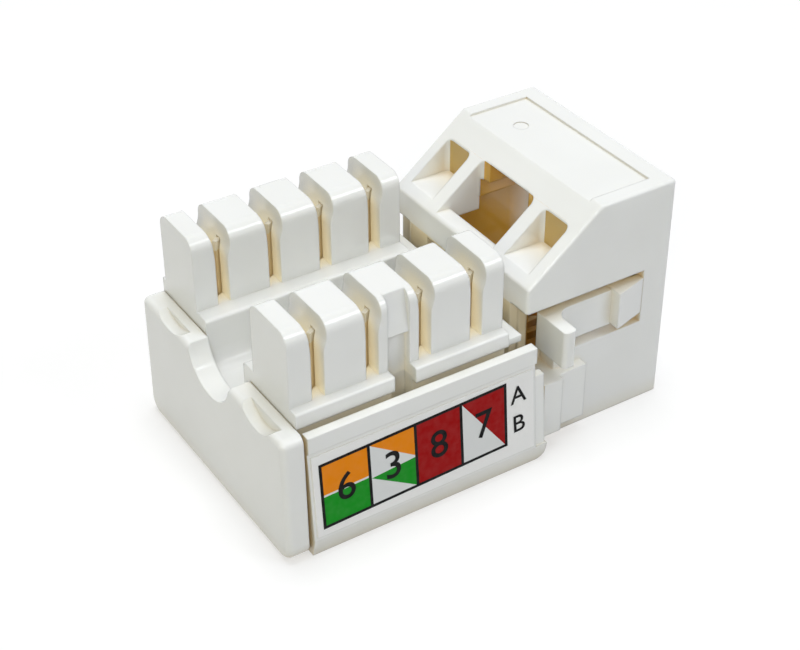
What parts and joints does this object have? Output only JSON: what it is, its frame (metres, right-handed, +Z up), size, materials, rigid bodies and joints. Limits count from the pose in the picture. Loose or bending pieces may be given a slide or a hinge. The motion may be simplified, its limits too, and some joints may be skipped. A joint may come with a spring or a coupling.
{
  "type": "keystone jack",
  "caption": "Right-angle RJ45 keystone jack: plug socket block with snap latch, punch-down wire towers beside a cable trough, and a wiring label.",
  "frame": {"origin": "middle of the jack's length, on the centre line of the port, in the plane it stands on", "axes": "+X out of the plug opening, +Z up past the wire towers, -Y towards the snap latch and wiring label"},
  "size_m": [0.0288, 0.0188, 0.016],
  "materials": {
    "moulded_plastic": "polished mould, warm white",
    "carrier_plastic": "satin, ivory",
    "terminal_metal": "tin-plated bronze",
    "contact_metal": "gold-plated spring bronze",
    "board": "green solder mask",
    "label_film": "printed film"
  },
  "bodies": {
    "jack": {"base_tray": "moulded_plastic", "terminal_block": "moulded_plastic", "front_housing": "moulded_plastic", "circuit_board": "board", "contact_carrier": "carrier_plastic", "wiring_label": "label_film", "idc_terminal_1": "terminal_metal", "idc_terminal_2": "terminal_metal", "idc_terminal_3": "terminal_metal", "idc_terminal_4": "terminal_metal", "idc_terminal_5": "terminal_metal", "idc_terminal_6": "terminal_metal", "idc_terminal_7": "terminal_metal", "idc_terminal_8": "terminal_metal", "contact_wire_1": "contact_metal", "contact_wire_2": "contact_metal", "contact_wire_3": "contact_metal", "contact_wire_4": "contact_metal", "contact_wire_5": "contact_metal", "contact_wire_6": "contact_metal", "contact_wire_7": "contact_metal", "contact_wire_8": "contact_metal"},
    "latch": {"keystone_latch": "moulded_plastic"}
  },
  "joints": [
    {"name": "latch_press", "type": "hinge", "parent": "jack", "child": "latch", "pos_m": [0.01189, -0.0068, 0.0081], "axis": [0, 0, -1], "range_deg": [0, 10], "stiffness_Nm_per_rad": 0.1}
  ]
}
